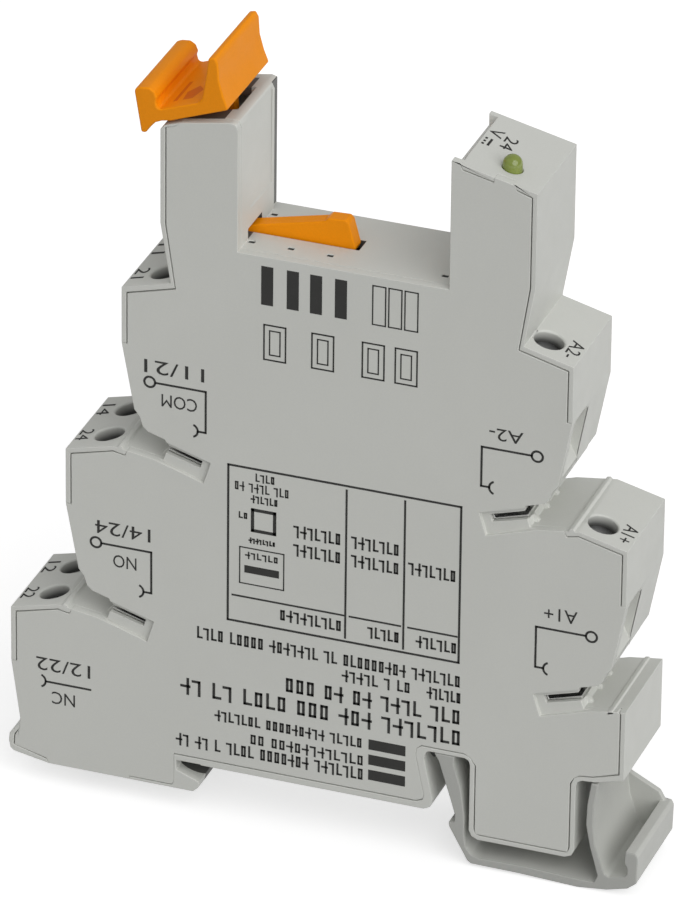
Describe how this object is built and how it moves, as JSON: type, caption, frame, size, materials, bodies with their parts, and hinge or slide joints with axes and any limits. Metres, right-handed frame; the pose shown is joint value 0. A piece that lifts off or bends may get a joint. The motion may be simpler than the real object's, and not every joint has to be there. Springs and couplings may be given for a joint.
{
  "type": "plug-in relay socket",
  "caption": "Narrow rail-mounted socket for a plug-in relay, with stepped screw terminals on both sides, a relay bay between towers and an orange retaining lever linked to an ejector.",
  "frame": {"origin": "middle, lengthways and across the width, of the face that rests on the rail", "axes": "+Z away from the mounting plate, +X towards the catch of the foot, along the stepped profile, +Y along the rail towards the rear wall"},
  "size_m": [0.0807, 0.014, 0.102],
  "materials": {
    "housing_plastic": "fine satin moulding, light grey",
    "cover_plastic": "fine satin moulding, light grey, printed in dark grey",
    "inner_plastic": "plain moulding, light grey",
    "lever_plastic": "semi-gloss orange moulding",
    "lens_plastic": "tinted olive-green, clear",
    "lamp_epoxy": "cast epoxy",
    "board_laminate": "solder resist on glass laminate",
    "chip_black": "moulded epoxy",
    "zinc_steel": "zinc plated",
    "copper_strip": "punched copper strip",
    "tinned_bronze": "tinned spring bronze"
  },
  "bodies": {
    "socket": {"housing": "housing_plastic", "front_cover": "cover_plastic", "center_partition": "inner_plastic", "lever_pin": "zinc_steel", "ejector_pin": "zinc_steel", "light_guide": "lens_plastic", "lamp": "lamp_epoxy", "circuit_board": "board_laminate", "rectifier": "chip_black", "resistors": "chip_black", "busbar_11": "copper_strip", "busbar_21": "copper_strip", "busbar_14": "copper_strip", "busbar_24": "copper_strip", "busbar_12": "copper_strip", "busbar_22": "copper_strip", "busbar_a1": "copper_strip", "busbar_a2": "copper_strip", "contact_11": "tinned_bronze", "contact_21": "tinned_bronze", "contact_14": "tinned_bronze", "contact_24": "tinned_bronze", "contact_12": "tinned_bronze", "contact_22": "tinned_bronze", "contact_a1": "tinned_bronze", "contact_a2": "tinned_bronze", "bridge_contact_11": "tinned_bronze", "bridge_contact_14": "tinned_bronze", "bridge_contact_a1": "tinned_bronze", "bridge_contact_a2": "tinned_bronze"},
    "foot": {"rail_foot": "housing_plastic"},
    "lever": {"retaining_lever": "lever_plastic"},
    "ejector": {"ejector_lever": "lever_plastic"},
    "link": {"ejector_link": "lever_plastic"},
    "screw_11": {"screw_11": "zinc_steel"},
    "cage_11": {"cage_11": "zinc_steel"},
    "screw_21": {"screw_21": "zinc_steel"},
    "cage_21": {"cage_21": "zinc_steel"},
    "screw_14": {"screw_14": "zinc_steel"},
    "cage_14": {"cage_14": "zinc_steel"},
    "screw_24": {"screw_24": "zinc_steel"},
    "cage_24": {"cage_24": "zinc_steel"},
    "screw_12": {"screw_12": "zinc_steel"},
    "cage_12": {"cage_12": "zinc_steel"},
    "screw_22": {"screw_22": "zinc_steel"},
    "cage_22": {"cage_22": "zinc_steel"},
    "screw_a1": {"screw_a1": "zinc_steel"},
    "cage_a1": {"cage_a1": "zinc_steel"},
    "screw_a2": {"screw_a2": "zinc_steel"},
    "cage_a2": {"cage_a2": "zinc_steel"}
  },
  "joints": [
    {"name": "foot_slide", "type": "slide", "parent": "socket", "child": "foot", "axis": [1, 0, 0], "range_m": [0, 0.00045], "stiffness_N_per_m": 2000},
    {"name": "lever_hinge", "type": "hinge", "parent": "socket", "child": "lever", "pos_m": [-0.0157, 0, 0.076], "axis": [0, 1, 0], "range_deg": [0, 10]},
    {"name": "link_slide", "type": "slide", "parent": "socket", "child": "link", "axis": [0, 0, 1], "range_m": [-0.00054, 0]},
    {"name": "ejector_hinge", "type": "hinge", "parent": "socket", "child": "ejector", "pos_m": [-0.01454, 0, 0.0694], "axis": [0, 1, 0], "range_deg": [0, 16.01]},
    {"name": "screw_11_turn", "type": "hinge", "parent": "socket", "child": "screw_11", "pos_m": [-0.0199, 0.0034, 0.06149], "axis": [0.2504, 0, -0.9681], "range_deg": [0, 1440]},
    {"name": "cage_11_slide", "type": "slide", "parent": "socket", "child": "cage_11", "axis": [-0.2504, 0, 0.9681], "range_m": [0, 0.002]},
    {"name": "screw_21_turn", "type": "hinge", "parent": "socket", "child": "screw_21", "pos_m": [-0.0199, -0.0034, 0.06149], "axis": [0.2504, 0, -0.9681], "range_deg": [0, 1440]},
    {"name": "cage_21_slide", "type": "slide", "parent": "socket", "child": "cage_21", "axis": [-0.2504, 0, 0.9681], "range_m": [0, 0.002]},
    {"name": "screw_14_turn", "type": "hinge", "parent": "socket", "child": "screw_14", "pos_m": [-0.0271, 0.0034, 0.03839], "axis": [0.2504, 0, -0.9681], "range_deg": [0, 1440]},
    {"name": "cage_14_slide", "type": "slide", "parent": "socket", "child": "cage_14", "axis": [-0.2504, 0, 0.9681], "range_m": [0, 0.002]},
    {"name": "screw_24_turn", "type": "hinge", "parent": "socket", "child": "screw_24", "pos_m": [-0.0271, -0.0034, 0.03839], "axis": [0.2504, 0, -0.9681], "range_deg": [0, 1440]},
    {"name": "cage_24_slide", "type": "slide", "parent": "socket", "child": "cage_24", "axis": [-0.2504, 0, 0.9681], "range_m": [0, 0.002]},
    {"name": "screw_12_turn", "type": "hinge", "parent": "socket", "child": "screw_12", "pos_m": [-0.0343, 0.0034, 0.01529], "axis": [0.2504, 0, -0.9681], "range_deg": [0, 1440]},
    {"name": "cage_12_slide", "type": "slide", "parent": "socket", "child": "cage_12", "axis": [-0.2504, 0, 0.9681], "range_m": [0, 0.002]},
    {"name": "screw_22_turn", "type": "hinge", "parent": "socket", "child": "screw_22", "pos_m": [-0.0343, -0.0034, 0.01529], "axis": [0.2504, 0, -0.9681], "range_deg": [0, 1440]},
    {"name": "cage_22_slide", "type": "slide", "parent": "socket", "child": "cage_22", "axis": [-0.2504, 0, 0.9681], "range_m": [0, 0.002]},
    {"name": "screw_a1_turn", "type": "hinge", "parent": "socket", "child": "screw_a1", "pos_m": [0.0337, -0.0034, 0.03839], "axis": [-0.2504, 0, -0.9681], "range_deg": [0, 1440]},
    {"name": "cage_a1_slide", "type": "slide", "parent": "socket", "child": "cage_a1", "axis": [0.2504, 0, 0.9681], "range_m": [0, 0.002]},
    {"name": "screw_a2_turn", "type": "hinge", "parent": "socket", "child": "screw_a2", "pos_m": [0.0265, -0.0034, 0.06149], "axis": [-0.2504, 0, -0.9681], "range_deg": [0, 1440]},
    {"name": "cage_a2_slide", "type": "slide", "parent": "socket", "child": "cage_a2", "axis": [0.2504, 0, 0.9681], "range_m": [0, 0.002]}
  ],
  "couplings": [
    {"joint": "lever_hinge", "follows": "link_slide", "rad_per_m": -322.99},
    {"joint": "ejector_hinge", "follows": "link_slide", "rad_per_m": -516.78},
    {"joint": "screw_11_turn", "follows": "cage_11_slide", "rad_per_m": 12566},
    {"joint": "screw_21_turn", "follows": "cage_21_slide", "rad_per_m": 12566},
    {"joint": "screw_14_turn", "follows": "cage_14_slide", "rad_per_m": 12566},
    {"joint": "screw_24_turn", "follows": "cage_24_slide", "rad_per_m": 12566},
    {"joint": "screw_12_turn", "follows": "cage_12_slide", "rad_per_m": 12566},
    {"joint": "screw_22_turn", "follows": "cage_22_slide", "rad_per_m": 12566},
    {"joint": "screw_a1_turn", "follows": "cage_a1_slide", "rad_per_m": 12566},
    {"joint": "screw_a2_turn", "follows": "cage_a2_slide", "rad_per_m": 12566}
  ]
}
